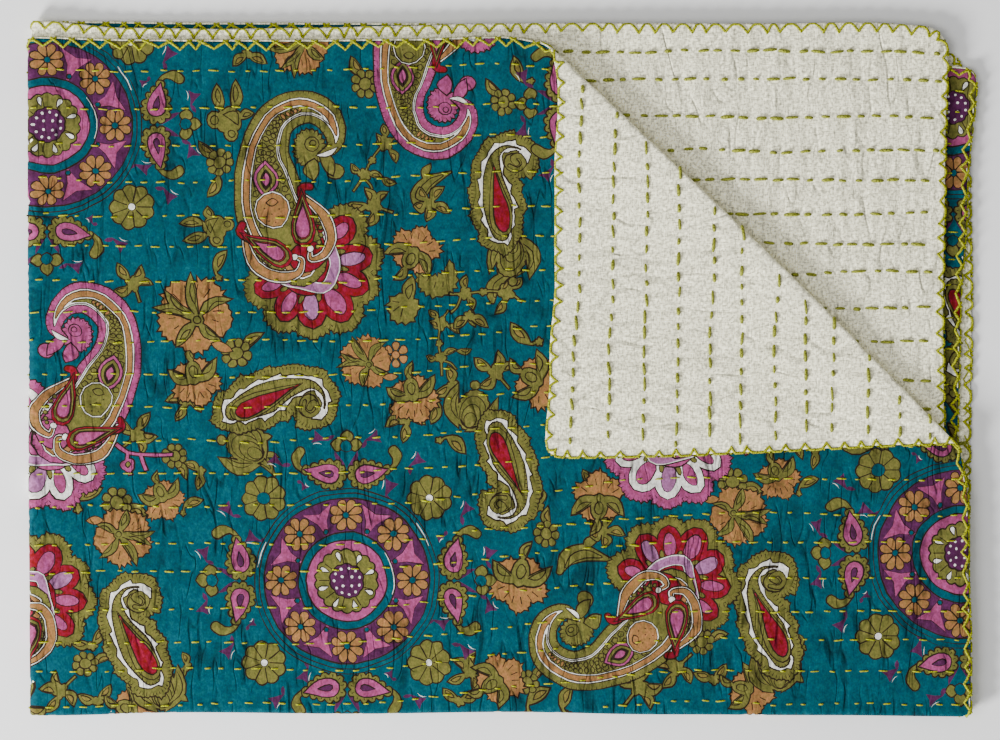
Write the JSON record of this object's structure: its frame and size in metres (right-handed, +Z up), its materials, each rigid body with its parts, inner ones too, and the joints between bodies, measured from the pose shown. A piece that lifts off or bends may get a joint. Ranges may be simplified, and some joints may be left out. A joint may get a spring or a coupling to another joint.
{
  "type": "kantha quilt",
  "caption": "Hand-stitched cotton kantha quilt folded in quarters, printed teal face out, with one top corner turned back to show the plain cream back.",
  "frame": {"origin": "centre of the folded quilt's bounding box, on the surface it lies on", "axes": "+X along the longer side, from the left fold towards the open edges; +Y from the bottom fold towards the open top edges; +Z up off the surface"},
  "size_m": [0.8914, 0.6522, 0.0263],
  "materials": {
    "face_cloth": "matte printed cotton",
    "back_cloth": "matte plain cotton"
  },
  "bodies": {
    "root": {"face_cloth": "face_cloth", "back_cloth": "back_cloth"}
  },
  "joints": []
}
